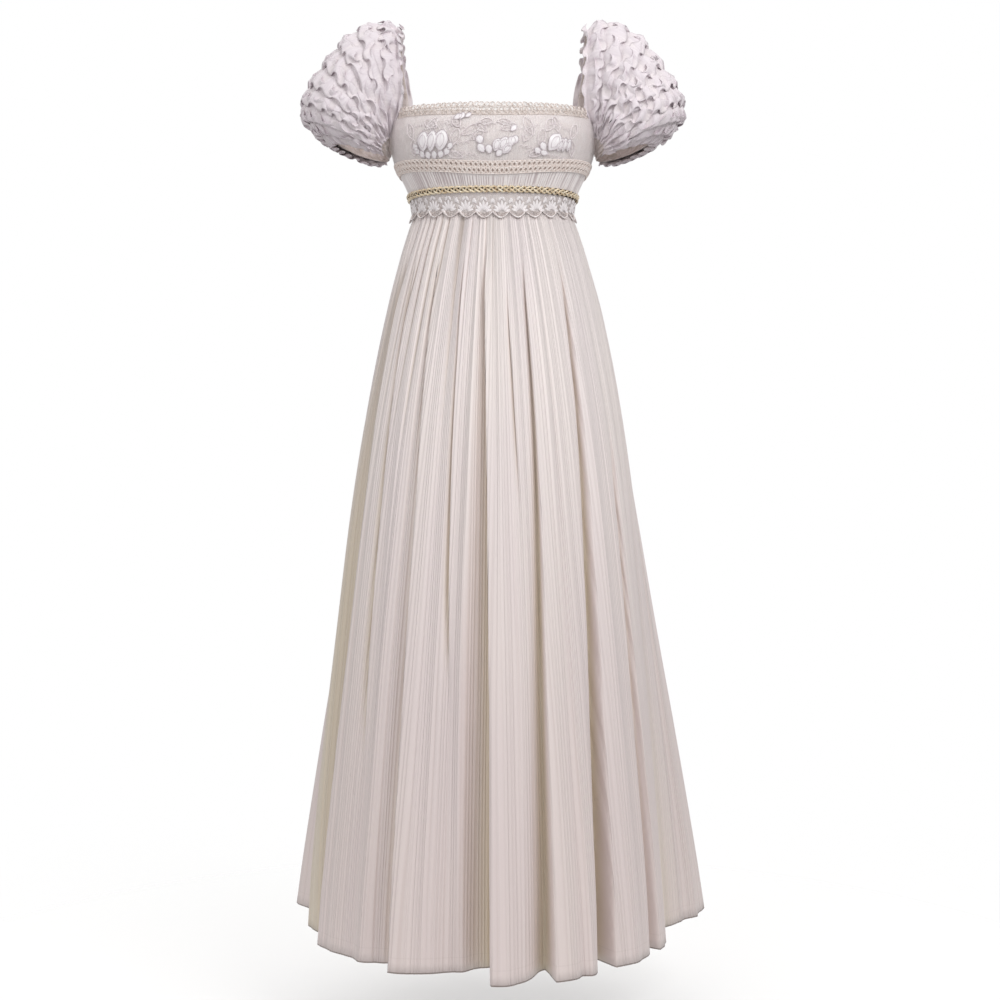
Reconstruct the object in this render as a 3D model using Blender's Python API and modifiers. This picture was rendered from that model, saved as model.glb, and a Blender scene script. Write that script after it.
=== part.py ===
# A regency gown in its worn form, hollow, with no wearer: a high-waisted bodice, two puff sleeves covered in
# rows of gathered ruffles, and a long gathered skirt in deep folds. Metres, +Z up, the front towards -Y.
# The origin is midway between the shoulders, where the wearer holds the gown up.
# Angles run round the body from the front centre, 0, to the wearer's left side, +90 degrees.

import math
from collections import namedtuple

import bmesh
import bpy
from mathutils import Vector

CLOTH = 0.0015  # wall of the bodice, the sleeves and the skirt
LACE = 0.0012  # wall of the lace pieces and of the ruffles
BRAID = 0.0030  # wall of the plaited braid
GAP = 0.0003  # left between neighbours
ON_PANEL = 0.0005  # from a panel to the trim that lies on it

HEM = -1.383
SKIRT_ROWS = (0.0, 0.035, 0.11, 0.23, 0.39, 0.58, 0.79, 1.0)  # shares of the way from the seam to the hem
SKIRT_COLUMNS = 56  # across the front, and again across the back
GATHER_DEPTH = 0.0028  # of the gathers at the waist seam, each one column in and one column out
GATHER_END = -0.62

# The gown's outline without its folds: a rounded oval at each height.
Section = namedtuple("Section", "height half_width front back squareness")
GOWN = (
    Section(-0.120, 0.1520, 0.0970, 0.0860, 2.50),
    Section(-0.137, 0.1560, 0.1020, 0.0890, 2.50),
    Section(-0.163, 0.1610, 0.1160, 0.0930, 2.40),
    Section(-0.191, 0.1570, 0.1250, 0.0960, 2.30),
    Section(-0.219, 0.1490, 0.1230, 0.0970, 2.20),
    Section(-0.237, 0.1390, 0.1160, 0.0965, 2.15),
    Section(-0.256, 0.1305, 0.1060, 0.0960, 2.10),
    Section(-0.275, 0.1255, 0.1000, 0.0955, 2.05),
    Section(-0.293, 0.1240, 0.0985, 0.0960, 2.05),
    Section(-0.310, 0.1310, 0.1030, 0.1010, 2.00),
    Section(-0.357, 0.1460, 0.1190, 0.1140, 2.00),
    Section(-0.450, 0.1715, 0.1460, 0.1390, 2.00),
    Section(-0.589, 0.2020, 0.1800, 0.1720, 2.00),
    Section(-0.729, 0.2250, 0.2070, 0.1970, 2.00),
    Section(-0.915, 0.2510, 0.2400, 0.2280, 2.00),
    Section(-1.101, 0.2770, 0.2700, 0.2560, 2.00),
    Section(-1.287, 0.3000, 0.3000, 0.2850, 2.00),
    Section(HEM, 0.3100, 0.3130, 0.2980, 2.00),
)

# Where the pieces end, at the front centre and from the side seams round the back.
Level = namedtuple("Level", "front side")
NECK_TOP = Level(-0.137, -0.137)
PANEL_TOP = Level(-0.150, -0.142)
NECK_BOTTOM = Level(-0.159, -0.151)
CROCHET_TOP = Level(-0.228, -0.213)
CROCHET_BOTTOM = Level(-0.246, -0.230)
BRAID_TOP = Level(-0.2595, -0.2560)
BRAID_BOTTOM = Level(-0.2730, -0.2705)
SEAM = Level(-0.3020, -0.2920)

# The deep folds of the skirt: each crease runs from below the seam to the hem, where it stands out from the
# gown's outline, or in, by this much. A ridge and the valley beside it make one fold.
Crease = namedtuple("Crease", "angle reach start")
CREASES = (
    Crease(-180, -0.070, -0.34),
    Crease(-165, 0.006, -0.34),
    Crease(-153, -0.076, -0.36),
    Crease(-142, -0.002, -0.34),
    Crease(-131, -0.060, -0.38),
    Crease(-113, 0.038, -0.60),
    Crease(-97, -0.020, -0.40),
    Crease(-81, -0.022, -0.40),
    Crease(-68, -0.042, -0.34),
    Crease(-58, -0.018, -0.36),
    Crease(-45, -0.022, -0.36),
    Crease(-35, -0.072, -0.33),
    Crease(-28, -0.014, -0.34),
    Crease(-21, -0.020, -0.34),
    Crease(-12, -0.082, -0.32),
    Crease(-2, 0.014, -0.34),
    Crease(7, 0.004, -0.34),
    Crease(11.5, -0.080, -0.32),
    Crease(17, 0.005, -0.34),
    Crease(26, 0.001, -0.34),
    Crease(31, -0.080, -0.33),
    Crease(37, -0.020, -0.34),
    Crease(48, -0.020, -0.34),
    Crease(53, -0.046, -0.36),
    Crease(59, -0.026, -0.36),
    Crease(68, -0.064, -0.38),
    Crease(80, -0.048, -0.40),
    Crease(107, 0.044, -0.60),
    Crease(124, -0.058, -0.36),
    Crease(136, 0.006, -0.34),
    Crease(147, -0.074, -0.34),
    Crease(163, 0.008, -0.36),
    Crease(180, -0.070, -0.34),
)

# The armhole of a sleeve, an upright loop round the shoulder, and the rings of the puff below it. Each ring
# runs from under the arm to the outer side of the sleeve, and half_depth is its reach to the front and back.
ARMHOLE_TOP = -0.004
ARMHOLE_BOTTOM = -0.1905
ARMHOLE_DEPTH = 0.058
SHOULDER_X = 0.143
SEAM_DROP = 0.0022  # the bodice's edge stays this far below the armhole loop
CORNER = 70  # angle where the neckline meets the armhole
Ring = namedtuple("Ring", "inner_x inner_z outer_x outer_z half_depth")
PUFF = (
    Ring(0.1586, -0.1920, 0.1780, 0.0030, 0.070),
    Ring(0.1590, -0.1934, 0.2212, -0.0180, 0.080),
    Ring(0.1594, -0.1948, 0.2545, -0.0590, 0.086),
    Ring(0.1598, -0.1963, 0.2820, -0.0990, 0.087),
    Ring(0.1601, -0.1977, 0.2890, -0.1330, 0.081),
    Ring(0.1603, -0.1991, 0.2670, -0.1590, 0.067),
    Ring(0.1605, -0.2005, 0.2380, -0.1760, 0.050),
)
SLEEVE_COLUMNS = 18

# The ruffles: gathered strips sewn round the puff by their upper edge, from its front to its back.
RUFFLES = 9
RUFFLE_COLUMNS = 14
FIRST_ROW = 0.12  # where the first strip is sewn, from the armhole seam, counted in rings of the puff
RUFFLE_HALF_TURN = 126  # degrees each way from the outer side of the sleeve
RUFFLE_STAND = 0.0125  # how far the loose edge stands off the puff
RUFFLE_WAVE = 0.0035  # of the loose edge, out and in
RUFFLE_REACH = 0.92  # a strip's width over the distance between rows
RUFFLE_FOOT = 0.0012  # from the puff to the sewn edge


def ease(share):
    share = min(max(share, 0.0), 1.0)
    return share * share * (3 - 2 * share)


def outline_at(height):
    """The gown's outline at this height, on a smooth curve through the sections."""
    last = len(GOWN) - 1
    lower = next((i for i in range(1, last) if height >= GOWN[i].height), last)
    a, b = GOWN[lower - 1], GOWN[lower]
    before, after = GOWN[max(lower - 2, 0)], GOWN[min(lower + 1, last)]
    span = b.height - a.height
    t = (height - a.height) / span
    values = []
    for column in range(len(a)):
        slope_a = (b[column] - before[column]) / (b.height - before.height) * span
        slope_b = (after[column] - a[column]) / (after.height - a.height) * span
        values.append(
            a[column] * (2 * t**3 - 3 * t**2 + 1)
            + slope_a * (t**3 - 2 * t**2 + t)
            + b[column] * (3 * t**2 - 2 * t**3)
            + slope_b * (t**3 - t**2)
        )
    return Section(*values)


def body_point(degrees, height, reach=0.0):
    """A point of the outline at this angle, moved out by reach."""
    section = outline_at(height)
    across, ahead = math.sin(math.radians(degrees)), math.cos(math.radians(degrees))
    depth = section.front if ahead > 0 else section.back
    n = section.squareness
    radius = (abs(across / section.half_width) ** n + abs(ahead / depth) ** n) ** (-1 / n)
    return Vector(((radius + reach) * across, -(radius + reach) * ahead, height))


def level_at(level, degrees):
    bow = max(0.0, math.cos(math.radians(degrees))) ** 2
    return level.side + (level.front - level.side) * bow


def crease_at(degrees, height):
    """How far the deep folds move the skirt out at this angle and height."""
    upper = next(i for i in range(1, len(CREASES)) if degrees <= CREASES[i].angle)
    a, b = CREASES[upper - 1], CREASES[upper]
    share = ease((degrees - a.angle) / (b.angle - a.angle))
    start = a.start + (b.start - a.start) * share
    grown = max(0.0, (start - height) / (start - HEM)) ** 1.1
    return (a.reach + (b.reach - a.reach) * share) * grown


def skirt_point(degrees, share, gather):
    """A point of the skirt, share of the way from its seam to its hem. gather is +1 or -1 on a gather."""
    top = level_at(SEAM, degrees) - GAP
    height = top + (HEM - top) * share
    fade = max(0.0, (height - GATHER_END) / (top - GATHER_END))
    turned = (degrees + 180) % 360 - 180
    return body_point(degrees, height, crease_at(turned, height) + gather * GATHER_DEPTH * fade)


def armhole_half_depth(height):
    middle = (ARMHOLE_TOP + ARMHOLE_BOTTOM) / 2
    half = (ARMHOLE_TOP - ARMHOLE_BOTTOM) / 2
    return ARMHOLE_DEPTH * math.sqrt(max(0.0, 1 - ((height - middle) / half) ** 2))


def armhole_point(degrees):
    """A point of the wearer's left armhole: 0 on the shoulder, 90 at the front, 180 under the arm."""
    middle = (ARMHOLE_TOP + ARMHOLE_BOTTOM) / 2
    half = (ARMHOLE_TOP - ARMHOLE_BOTTOM) / 2
    y = -ARMHOLE_DEPTH * math.sin(math.radians(degrees))
    z = middle + half * math.cos(math.radians(degrees))
    section = outline_at(min(z, NECK_TOP.front))
    depth = section.front if y < 0 else section.back
    n = section.squareness
    x = section.half_width * max(0.0, 1 - abs(y / depth) ** n) ** (1 / n)
    rise = ease((z - NECK_TOP.front) / (ARMHOLE_TOP - NECK_TOP.front))
    return Vector((x + (SHOULDER_X - x) * rise, y, z))


def armhole_height(degrees):
    """The height where the armhole crosses this angle of the bodice."""
    low, high = ARMHOLE_BOTTOM, NECK_TOP.front
    for _ in range(30):
        middle = (low + high) / 2
        inside = abs(body_point(degrees, middle).y) < armhole_half_depth(middle)
        low, high = (low, middle) if inside else (middle, high)
    return low


def puff_point(place, degrees):
    """A point of the wearer's left sleeve. place is 0 at the armhole and then counts the puff's rings."""
    stations = [armhole_point(degrees)]
    for ring in PUFF:
        inner = Vector((ring.inner_x, 0, ring.inner_z))
        outer = Vector((ring.outer_x, 0, ring.outer_z))
        turn = math.radians(degrees)
        across = (outer - inner) / 2 * math.cos(turn)
        stations.append((inner + outer) / 2 + across + Vector((0, -ring.half_depth * math.sin(turn), 0)))
    last = len(stations) - 1
    start = min(int(place), last - 1)
    t = place - start
    a, b = stations[start], stations[start + 1]
    slope_a = (b - stations[max(start - 1, 0)]) / (2 if start else 1)
    slope_b = (stations[min(start + 2, last)] - a) / (2 if start + 2 <= last else 1)
    return (
        a * (2 * t**3 - 3 * t**2 + 1)
        + slope_a * (t**3 - 2 * t**2 + t)
        + b * (3 * t**2 - 2 * t**3)
        + slope_b * (t**3 - t**2)
    )


def puff_normal(place, degrees):
    down = puff_point(place + 0.02, degrees) - puff_point(place - 0.02, degrees)
    forward = puff_point(place, degrees + 1) - puff_point(place, degrees - 1)
    return forward.cross(down).normalized()


def half_angles(middle):
    """The bodice's column angles over a front (middle 0) or a back (180), with one at each neck corner."""
    side = [90 - (90 - CORNER) * i / 3 for i in range(3)]
    centre = [CORNER * i / 7 for i in range(-7, 8)]
    return [middle + a for a in [-a for a in side] + centre + side[::-1]]


def ring_angles():
    return half_angles(0) + half_angles(180)[1:]


def panel_heights(degrees):
    """The heights of a bodice panel's rows at this angle, from its seam up."""
    top = level_at(PANEL_TOP, degrees)
    folded = (degrees + 180) % 360 - 180
    from_side = abs(abs(folded) - 90)
    if from_side < 90 - CORNER:
        top = min(top, armhole_height(degrees) - SEAM_DROP)
    band_top = level_at(CROCHET_TOP, degrees)
    under_top = min(top - 0.004, level_at(NECK_BOTTOM, degrees))
    return (
        level_at(SEAM, degrees),
        level_at(BRAID_BOTTOM, degrees),
        level_at(BRAID_TOP, degrees),
        level_at(CROCHET_BOTTOM, degrees),
        band_top,
        band_top + (under_top - band_top) / 3,
        band_top + (under_top - band_top) * 2 / 3,
        under_top,
        top,
    )


def finish(name, color, roughness, metallic):
    material = bpy.data.materials.new(name)
    material.use_nodes = True
    shader = material.node_tree.nodes["Principled BSDF"]
    shader.inputs["Base Color"].default_value = (*color, 1)
    shader.inputs["Roughness"].default_value = roughness
    shader.inputs["Metallic"].default_value = metallic
    return material


def sheet(name, rows, wall, material, closed=False, lift=0.0):
    """Cloth through these rows of points, lowest first: its outer face on them, or its inner face if lifted."""
    across, up = len(rows[0]) - 1, len(rows) - 1
    bm = bmesh.new()
    bmesh.ops.create_grid(bm, x_segments=across, y_segments=up, size=0.5)
    for vert in bm.verts:
        column, row = round((vert.co.x + 0.5) * across), round((vert.co.y + 0.5) * up)
        vert.co = rows[row][column]
    if closed:
        bmesh.ops.remove_doubles(bm, verts=bm.verts, dist=1e-6)
    bm.normal_update()
    for vert, normal in [(v, v.normal.copy()) for v in bm.verts]:
        vert.co += normal * lift
    mesh = bpy.data.meshes.new(name)
    bm.to_mesh(mesh)
    bm.free()
    mesh.shade_smooth()
    mesh.materials.append(material)
    piece = bpy.data.objects.new(name, mesh)
    gown.objects.link(piece)
    thickness = piece.modifiers.new("Cloth", "SOLIDIFY")
    thickness.thickness = wall
    thickness.offset = 1 if lift else -1
    return piece


def bodice_panel(name, middle, material):
    columns = [(a, panel_heights(a)) for a in half_angles(middle)]
    rows = [[body_point(a, heights[row]) for a, heights in columns] for row in range(9)]
    spread = GAP / 2 if middle == 180 else -GAP / 2
    for row in rows:
        row[0].y += spread
        row[-1].y += spread
    sheet(name, rows, CLOTH, material)


def band(name, lower, upper, wall, material, bottom_gap):
    """A trim all round the bodice, between two of its rows."""
    rows = []
    for row in (lower, upper):
        rows.append([body_point(a, panel_heights(a)[row]) for a in ring_angles()])
    for point in rows[0]:
        point.z += bottom_gap
    for point in rows[1]:
        point.z -= GAP
    sheet(name, rows, wall, material, closed=True, lift=ON_PANEL)


def lace_overlay(name, material):
    """Lace over the front, from the neck lace to the crochet band and just short of the armholes."""
    columns = [(a, panel_heights(a)) for a in half_angles(0)[1:-1]]
    rows = [[body_point(a, heights[row]) for a, heights in columns] for row in (4, 5, 6, 7)]
    for low, high in zip(rows[0], rows[-1]):
        low.z += GAP
        high.z -= GAP
    sheet(name, rows, LACE, material, lift=ON_PANEL)


def neck_lace(name, material):
    """Lace that stands up from the front neckline, between the sleeves."""
    angles = [min(max(a, -CORNER + 3), CORNER - 3) for a in half_angles(0)[3:-3]]
    rows = []
    for level in (NECK_BOTTOM, PANEL_TOP, NECK_TOP):
        rows.append([body_point(a, level_at(level, a)) for a in angles])
    sheet(name, rows, LACE, material, lift=ON_PANEL)


def skirt_panel(name, middle, material):
    rows = []
    for share in reversed(SKIRT_ROWS):
        row = []
        for column in range(SKIRT_COLUMNS + 1):
            degrees = middle - 90 + 180 * column / SKIRT_COLUMNS
            row.append(skirt_point(degrees, share, 1 if column % 2 else -1))
        spread = GAP / 2 if middle == 180 else -GAP / 2
        row[0].y += spread
        row[-1].y += spread
        rows.append(row)
    sheet(name, rows, CLOTH, material)


def worn_side(points, side):
    """The points as they are on the wearer's left (side 1), or mirrored for the right, still facing out."""
    if side == 1:
        return points
    return [Vector((-p.x, p.y, p.z)) for p in reversed(points)]


def sleeve(name, side, material):
    angles = [360 * i / SLEEVE_COLUMNS - 180 for i in range(SLEEVE_COLUMNS + 1)]
    rows = [worn_side([puff_point(place, a) for a in angles], side) for place in range(len(PUFF) + 1)]
    sheet(name, rows, CLOTH, material, closed=True)


def ruffle(name, side, number, material):
    """One gathered strip: its loose edge stands off the puff in waves and reaches down to the next strip."""
    spacing = (len(PUFF) - FIRST_ROW) / (RUFFLES + 0.2)
    sewn = FIRST_ROW + spacing * number
    loose = sewn + spacing * RUFFLE_REACH
    top_row, low_row = [], []
    for column in range(RUFFLE_COLUMNS + 1):
        degrees = RUFFLE_HALF_TURN * (2 * column / RUFFLE_COLUMNS - 1)
        end = 1 - 0.85 * ease((abs(degrees) - 70) / (RUFFLE_HALF_TURN - 70))
        wave = RUFFLE_WAVE if column % 2 else -RUFFLE_WAVE
        top_row.append(puff_point(sewn, degrees) + puff_normal(sewn, degrees) * RUFFLE_FOOT)
        stand = RUFFLE_FOOT + (RUFFLE_STAND + wave) * end
        low_row.append(puff_point(loose, degrees) + puff_normal(loose, degrees) * stand)
    rows = [worn_side(top_row, side), worn_side(low_row, side)]
    sheet(name, rows, LACE, material, lift=GAP)


for leftover in list(bpy.data.objects):
    bpy.data.objects.remove(leftover)
gown = bpy.data.collections.new("regency_gown")
bpy.context.scene.collection.children.link(gown)

bodice_panel("bodice_front", 0, finish("shirred satin front", (0.66, 0.60, 0.57), 0.60, 0))
bodice_panel("bodice_back", 180, finish("shirred satin back", (0.66, 0.60, 0.57), 0.60, 0))
lace_overlay("lace_overlay", finish("bodice lace", (0.74, 0.69, 0.66), 0.45, 0))
neck_lace("neck_lace", finish("neck lace", (0.72, 0.66, 0.60), 0.65, 0))
band("crochet_band", 3, 4, LACE, finish("crochet cotton", (0.70, 0.62, 0.54), 0.70, 0), GAP)
band("gold_braid", 1, 2, BRAID, finish("gold thread", (0.72, 0.56, 0.28), 0.32, 1), 0.0012)
band("waist_lace", 0, 1, LACE, finish("waist lace", (0.74, 0.69, 0.67), 0.45, 0), 0.0010)
skirt_panel("skirt_front", 0, finish("crinkled chiffon front", (0.68, 0.63, 0.61), 0.70, 0))
skirt_panel("skirt_back", 180, finish("crinkled chiffon back", (0.68, 0.63, 0.61), 0.70, 0))
for side, word in ((1, "left"), (-1, "right")):
    sleeve("sleeve_" + word, side, finish("puff " + word, (0.72, 0.67, 0.68), 0.65, 0))
    for number in range(RUFFLES):
        title = "ruffle_%s_%d" % (word, number + 1)
        ruffle(title, side, number, finish(title + " chiffon", (0.76, 0.70, 0.73), 0.60, 0))
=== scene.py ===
import math

import bmesh
import bpy
import numpy as np
from mathutils import Matrix, Vector


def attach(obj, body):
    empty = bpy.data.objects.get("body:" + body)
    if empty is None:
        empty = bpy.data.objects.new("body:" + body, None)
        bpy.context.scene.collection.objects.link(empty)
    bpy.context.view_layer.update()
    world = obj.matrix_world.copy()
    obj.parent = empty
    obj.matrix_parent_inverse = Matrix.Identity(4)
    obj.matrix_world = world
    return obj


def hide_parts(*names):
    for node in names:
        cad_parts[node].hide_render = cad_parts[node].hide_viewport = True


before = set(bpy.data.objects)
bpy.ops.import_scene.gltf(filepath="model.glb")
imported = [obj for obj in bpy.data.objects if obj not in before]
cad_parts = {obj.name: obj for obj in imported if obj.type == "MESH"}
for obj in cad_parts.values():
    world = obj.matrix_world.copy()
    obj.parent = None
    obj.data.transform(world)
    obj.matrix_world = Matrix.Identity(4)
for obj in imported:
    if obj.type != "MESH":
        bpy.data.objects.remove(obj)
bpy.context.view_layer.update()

hem = -1.383  # the skirt's lower edge, in metres below the shoulders
gap = 0.0003  # left between neighbouring pieces
mm = 0.001

# The gown without its folds: a rounded oval at each height.
# height, half width, reach to the front, reach to the back, squareness
outline = np.array((  # in millimetres
    (-120, 152, 97, 86, 2.5),
    (-137, 156, 102, 89, 2.5),
    (-163, 161, 116, 93, 2.4),
    (-191, 157, 125, 96, 2.3),
    (-219, 149, 123, 97, 2.2),
    (-237, 139, 116, 96.5, 2.15),
    (-256, 130.5, 106, 96, 2.1),
    (-275, 125.5, 100, 95.5, 2.05),
    (-293, 124, 98.5, 96, 2.05),
    (-310, 131, 103, 101, 2),
    (-357, 146, 119, 114, 2),
    (-450, 171.5, 146, 139, 2),
    (-589, 202, 180, 172, 2),
    (-729, 225, 207, 197, 2),
    (-915, 251, 240, 228, 2),
    (-1101, 277, 270, 256, 2),
    (-1287, 300, 300, 285, 2),
    (hem * 1000, 310, 313, 298, 2),
)) * (0.001, 0.001, 0.001, 0.001, 1)

# Where the trims begin and end: at the front centre, and from the side seams round the back.
levels = {
    "neckTop": (-0.137, -0.137),
    "panelTop": (-0.15, -0.142),
    "neckBottom": (-0.159, -0.151),
    "crochetTop": (-0.228, -0.213),
    "crochetBottom": (-0.246, -0.23),
    "braidTop": (-0.2595, -0.256),
    "braidBottom": (-0.273, -0.2705),
    "seam": (-0.302, -0.292),
}

# How far the skirt stands out at the hem: angle, reach, height where it starts. At the front these are the
# ridges only, and the folds below cut the hollows between them.
creases = np.array((
    (-180, -0.07, -0.34), (-165, 0.006, -0.34), (-153, -0.076, -0.36), (-142, -0.002, -0.34),
    (-131, -0.06, -0.38), (-113, 0.038, -0.6), (-97, -0.02, -0.4), (-81, -0.022, -0.4),
    (-58, -0.03, -0.36), (-45, -0.034, -0.36), (-27, -0.014, -0.34), (-20, -0.018, -0.34),
    (-1, 0.01, -0.34), (8, 0.004, -0.34), (16, 0.004, -0.34), (26, 0.001, -0.34),
    (36, -0.018, -0.34), (48, -0.02, -0.34), (59, -0.026, -0.36), (80, -0.046, -0.4),
    (107, 0.044, -0.6), (124, -0.058, -0.36), (136, 0.006, -0.34), (147, -0.074, -0.34),
    (163, 0.008, -0.36), (180, -0.07, -0.34),
))

# The armhole loop and the rings of the puff below it.
armhole = {"top": -0.004, "bottom": -0.1905, "depth": 0.058, "shoulder": 0.143, "corner": 70}
armholeMiddle = (armhole["top"] + armhole["bottom"]) / 2
armholeHalf = (armhole["top"] - armhole["bottom"]) / 2
puffRings = 0.001 * np.array((  # in millimetres: inner x, inner z, outer x, outer z, half depth
    (158.6, -192, 178, 3, 70),
    (159, -193.4, 221.2, -18, 80),
    (159.4, -194.8, 254.5, -59, 86),
    (159.8, -196.3, 282, -99, 87),
    (160.1, -197.7, 289, -133, 81),
    (160.3, -199.1, 267, -159, 67),
    (160.5, -200.5, 238, -176, 50),
))


def ease(share):
    share = np.clip(share, 0.0, 1.0)
    return share * share * (3 - 2 * share)


def bell(away, width, power=2):
    # 1 in the middle, falling to nothing on either side
    return np.exp(-np.abs(away / width) ** power)


def softNoise(across, along, seed, turns=997):
    # smooth noise from -1 to 1, one cell a unit; across closes on itself after this many turns
    table = np.random.default_rng(seed).uniform(-1, 1, (turns, 61))
    a, b = np.floor(across).astype(int), np.floor(along).astype(int)
    s, t = ease(across - a), ease(along - b)
    low = table[a % turns, b % 61] * (1 - s) + table[(a + 1) % turns, b % 61] * s
    high = table[a % turns, (b + 1) % 61] * (1 - s) + table[(a + 1) % turns, (b + 1) % 61] * s
    return low * (1 - t) + high * t


def curved(a, b, slopeA, slopeB, t):
    # from a to b as t goes from 0 to 1, leaving and arriving at these slopes
    return (a * (2 * t**3 - 3 * t**2 + 1) + slopeA * (t**3 - 2 * t**2 + t)
            + b * (3 * t**2 - 2 * t**3) + slopeB * (t**3 - t**2))


def outlineAt(height):
    # the columns of the outline at each height, on a smooth curve through the table
    last = len(outline) - 1
    lower = np.clip(np.searchsorted(-outline[:, 0], -height), 1, last)
    a, b = outline[lower - 1], outline[lower]
    before, after = outline[np.maximum(lower - 2, 0)], outline[np.minimum(lower + 1, last)]
    span = (b[:, 0] - a[:, 0])[:, None]
    t = (height[:, None] - a[:, :1]) / span
    slopeA = (b - before) / (b[:, :1] - before[:, :1]) * span
    slopeB = (after - a) / (after[:, :1] - a[:, :1]) * span
    return curved(a, b, slopeA, slopeB, t)


def bodyPoint(degrees, height, reach=0.0):
    # points of the outline at these angles, moved out by reach; 0 is the front, 90 the wearer's left
    degrees, height = np.broadcast_arrays(np.asarray(degrees, float), np.asarray(height, float))
    section = outlineAt(height)
    across, ahead = np.sin(np.radians(degrees)), np.cos(np.radians(degrees))
    depth = np.where(ahead > 0, section[:, 2], section[:, 3])
    n = section[:, 4]
    radius = (np.abs(across / section[:, 1]) ** n + np.abs(ahead / depth) ** n) ** (-1 / n) + reach
    return np.stack((radius * across, -radius * ahead, height), axis=1)


def levelAt(name, degrees):
    front, side = levels[name]
    return side + (front - side) * np.maximum(0.0, np.cos(np.radians(degrees))) ** 2


def creaseAt(degrees, height):
    upper = np.clip(np.searchsorted(creases[:, 0], degrees), 1, len(creases) - 1)
    a, b = creases[upper - 1], creases[upper]
    share = ease((degrees - a[:, 0]) / (b[:, 0] - a[:, 0]))
    start = a[:, 2] + (b[:, 2] - a[:, 2]) * share
    grown = np.maximum(0.0, (start - height) / (start - hem)) ** 1.1
    return (a[:, 1] + (b[:, 1] - a[:, 1]) * share) * grown


def armholePoint(degrees):
    # 0 on the shoulder, 90 at the front, 180 under the arm
    y = -armhole["depth"] * np.sin(np.radians(degrees))
    z = armholeMiddle + armholeHalf * np.cos(np.radians(degrees))
    neck = levels["neckTop"][0]
    section = outlineAt(np.minimum(z, neck))
    depth = np.where(y < 0, section[:, 2], section[:, 3])
    n = section[:, 4]
    x = section[:, 1] * np.maximum(0.0, 1 - np.abs(y / depth) ** n) ** (1 / n)
    rise = ease((z - neck) / (armhole["top"] - neck))
    return np.stack((x + (armhole["shoulder"] - x) * rise, y, z), axis=1)


def armholeHeight(degrees):
    # the height where the armhole crosses each angle of the bodice
    low = np.full(len(degrees), armhole["bottom"])
    high = np.full(len(degrees), levels["neckTop"][0])
    for _ in range(30):
        trial = (low + high) / 2
        reach = armhole["depth"] * np.sqrt(np.maximum(0.0, 1 - ((trial - armholeMiddle) / armholeHalf) ** 2))
        inside = np.abs(bodyPoint(degrees, trial)[:, 1]) < reach
        low, high = np.where(inside, low, trial), np.where(inside, trial, high)
    return low


def puffPoint(place, degrees):
    # the wearer's left sleeve: place is 0 at the armhole and then counts the puff's rings
    turn = np.radians(degrees)
    stations = [armholePoint(degrees)]
    for innerX, innerZ, outerX, outerZ, halfDepth in puffRings:
        x = (innerX + outerX) / 2 + (outerX - innerX) / 2 * np.cos(turn)
        z = (innerZ + outerZ) / 2 + (outerZ - innerZ) / 2 * np.cos(turn)
        stations.append(np.stack((x, -halfDepth * np.sin(turn), z), axis=1))
    stations = np.array(stations)
    last = len(stations) - 1
    start = np.clip(np.floor(place).astype(int), 0, last - 1)
    t = (place - start)[:, None]
    pick = np.arange(len(place))
    a, b = stations[start, pick], stations[start + 1, pick]
    before, after = stations[np.maximum(start - 1, 0), pick], stations[np.minimum(start + 2, last), pick]
    slopeA = (b - before) / np.where(start > 0, 2, 1)[:, None]
    slopeB = (after - a) / np.where(start + 2 <= last, 2, 1)[:, None]
    return curved(a, b, slopeA, slopeB, t)


def unit(vectors):
    return vectors / np.linalg.norm(vectors, axis=1)[:, None]


def puffFrame(place, degrees):
    # the point, and the directions forward round the sleeve, down the sleeve and outwards
    down = unit(puffPoint(place + 0.02, degrees) - puffPoint(place - 0.02, degrees))
    forward = unit(puffPoint(place, degrees + 1) - puffPoint(place, degrees - 1))
    return puffPoint(place, degrees), forward, down, unit(np.cross(forward, down))


class Wire:
    # a socket that can be added, scaled and compared like a number

    def __init__(self, tree, socket):
        self.tree, self.socket = tree, socket

    def math(self, operation, *others, swapped=False):
        node = self.tree.nodes.new("ShaderNodeMath")
        node.operation = operation
        terms = [self, *others]
        if swapped:
            terms.reverse()
        for slot, term in zip(node.inputs, terms):
            if isinstance(term, Wire):
                self.tree.links.new(term.socket, slot)
            else:
                slot.default_value = term
        return Wire(self.tree, node.outputs[0])

    def __add__(self, other):
        return self.math("ADD", other)

    __radd__ = __add__

    def __mul__(self, other):
        return self.math("MULTIPLY", other)

    __rmul__ = __mul__

    def __sub__(self, other):
        return self.math("SUBTRACT", other)

    def __rsub__(self, other):
        return self.math("SUBTRACT", other, swapped=True)

    def between(self, low, high):
        # 0 at low, 1 at high, smooth in between
        node = self.tree.nodes.new("ShaderNodeMapRange")
        node.interpolation_type = "SMOOTHSTEP"
        self.tree.links.new(self.socket, node.inputs["Value"])
        node.inputs["From Min"].default_value = low
        node.inputs["From Max"].default_value = high
        return Wire(self.tree, node.outputs["Result"])


def tint(red, green, blue):
    # a screen colour from 0 to 255 as the linear colour that shaders take
    shares = (red / 255, green / 255, blue / 255)
    return tuple(c / 12.92 if c < 0.04045 else ((c + 0.055) / 1.055) ** 2.4 for c in shares)


class Nodes:
    # the nodes of a material or of the world

    def __init__(self, tree):
        self.tree = tree

    def node(self, kind, settings=None, values=None, output=0):
        made = self.tree.nodes.new("ShaderNode" + kind)
        for setting, value in (settings or {}).items():
            setattr(made, setting, value)
        for slot, value in (values or {}).items():
            if isinstance(value, Wire):
                self.tree.links.new(value.socket, made.inputs[slot])
            else:
                made.inputs[slot].default_value = value
        return Wire(self.tree, made.outputs[output])


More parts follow.
